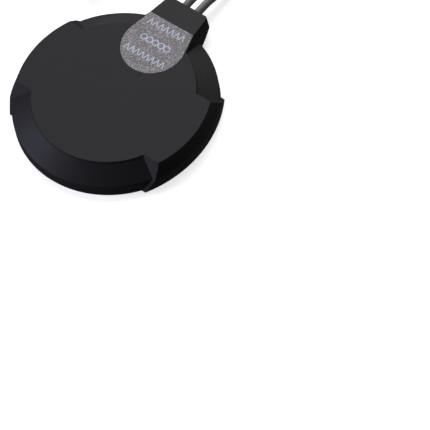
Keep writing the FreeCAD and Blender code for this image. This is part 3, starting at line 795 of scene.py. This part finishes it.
plug_gold = grained("plug_gold", (0.72, 0.50, 0.18), (0.84, 0.61, 0.26), (0.16, 0.3),
                    0.25 * mm, 3 * mm, 0.002 * mm, Metallic=1.0)
plug_nickel = grained("plug_nickel", (0.5, 0.48, 0.44), (0.64, 0.62, 0.58), (0.2, 0.34),
                      0.25 * mm, 3 * mm, 0.002 * mm, Metallic=1.0)
plug_ptfe = grained("plug_ptfe", (0.78, 0.78, 0.75), (0.85, 0.85, 0.82), (0.35, 0.5),
                    0.3 * mm, 3 * mm, 0.01 * mm)
ring_steel = grained("ring_steel", (0.4, 0.4, 0.41), (0.55, 0.55, 0.56), (0.25, 0.4),
                     0.2 * mm, 2 * mm, 0.01 * mm, Metallic=1.0)
sleeve_rubber = grained("sleeve_rubber", (0.012, 0.012, 0.012), (0.02, 0.02, 0.02),
                        (0.4, 0.6), 0.5 * mm, 2 * mm, 0.04 * mm)
FIRST = {"sleeve": (sleeve(), sleeve_rubber, "sleeve_rubber"),
         "ferrule": (ferrule(), plug_gold, "plug_gold"),
         "body": (barrel(), plug_gold, "plug_gold"),
         "pin": (pin(), plug_gold, "plug_gold"),
         "nut": (nut(), plug_nickel, "plug_nickel")}
for name, route, winding, end, tie_angle in LEADS:
    (x0, y0, _), (x1, y1, _) = end[-2:]
    pieces = [ties[name]]
    for kind, (first, material, slot) in FIRST.items():
        piece = first.copy()
        piece.data = first.data.copy()
        bpy.context.scene.collection.objects.link(piece)
        piece.rotation_euler = (0, 0, math.atan2(y1 - y0, x1 - x0))
        piece.location = end[-1]
        node = name + "_plug_" + kind
        fit(piece, name + "_" + kind, material,
            body=name + "_nut" if kind == "nut" else "root")
        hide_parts(node)
        pieces.append(piece)
    coat(name + "_plug_insulator", plug_ptfe)
    coat(name + "_plug_ring", ring_steel)
    pieces += [name + "_plug_insulator", name + "_plug_ring"]
for first, material, slot in FIRST.values():
    bpy.data.objects.remove(first)

# ---- stage: floor, lights and camera --------------------------------------------------
# A plain white sweep under soft boxes: two bluish ones low on the left and in front, a
# large one high behind, and two weak ones low at the back. The near right stays in shade.
start()
bpy.ops.mesh.primitive_plane_add(size=30, location=(0, 0, 0))
floor = bpy.context.object
floor.name = "floor"
paper, nodes, links, shader, place = blank("paper", Base_Color=(0.9, 0.9, 0.9, 1),
                                           Roughness=0.35, Emission_Color=(1, 1, 1, 1),
                                           Emission_Strength=0.7)
floor.data.materials.append(paper)
floor.visible_diffuse = False
floor.visible_glossy = False


def soft_box(name, towards, distance, width, height, power, colour):
    """A rectangular light that faces the puck's middle."""
    away = Vector(towards).normalized()
    data = bpy.data.lights.new(name, "AREA")
    data.shape = "RECTANGLE"
    data.size, data.size_y = width, height
    data.energy = power
    data.color = colour
    box = bpy.data.objects.new(name, data)
    box.location = away * distance
    box.rotation_euler = away.to_track_quat("Z", "Y").to_euler()
    box.visible_camera = False
    bpy.context.scene.collection.objects.link(box)


soft_box("left_box", (-0.72, -0.56, 0.38), 1.2, 0.5, 0.3, 7.5, (0.76, 0.75, 1.0))
soft_box("ramp_box", (-0.41, -0.89, 0.21), 1.2, 0.3, 0.2, 1.6, (0.82, 0.8, 1.0))
soft_box("high_box", (-0.41, 0.52, 0.75), 1.4, 1.1, 1.0, 9.7, (1.0, 0.985, 1.0))
soft_box("back_box", (0.15, 0.95, 0.28), 1.2, 0.9, 0.35, 1.9, (0.98, 0.98, 1.0))
soft_box("rim_box", (-0.62, 0.76, 0.18), 1.2, 0.8, 0.3, 2.2, (1.0, 1.0, 1.0))

world = bpy.data.worlds.new("studio")
bpy.context.scene.world = world
world.use_nodes = True
nodes, links = world.node_tree.nodes, world.node_tree.links
room = nodes["Background"]
room.inputs["Color"].default_value = (0.93, 0.95, 1.0, 1)
seen = nodes.new("ShaderNodeLightPath")
level = nodes.new("ShaderNodeMapRange")
level.inputs["To Min"].default_value = 0.1
level.inputs["To Max"].default_value = 0.95
links.new(seen.outputs["Is Camera Ray"], level.inputs["Value"])
links.new(level.outputs["Result"], room.inputs["Strength"])
bpy.context.scene.view_settings.view_transform = "Standard"

azimuth, elevation, roll = (math.radians(angle) for angle in (48.0, 56.74, -12.94))
distance, frame_width = 2.4, 155.6 * mm
back = Vector((math.sin(azimuth) * math.cos(elevation),
               -math.cos(azimuth) * math.cos(elevation), math.sin(elevation)))
right = Vector((math.cos(azimuth), math.sin(azimuth), 0))
turned_axes = Matrix((right, back.cross(right), back)).transposed() @ Matrix.Rotation(
    roll, 3, "Z")
foot = Vector((0, 0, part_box("cover")[0].z))
off_centre = Vector((35.46 * mm, -39.13 * mm, 0))     # the puck is up and left of the middle
aim = foot + turned_axes @ off_centre
camera = bpy.data.objects.new("camera", bpy.data.cameras.new("camera"))
bpy.context.scene.collection.objects.link(camera)
camera.matrix_world = Matrix.Translation(aim + back * distance) @ turned_axes.to_4x4()
camera.data.lens = camera.data.sensor_width * distance / frame_width
camera.data.clip_start, camera.data.clip_end = 0.1, 20
bpy.context.scene.camera = camera

bpy.context.view_layer.update()
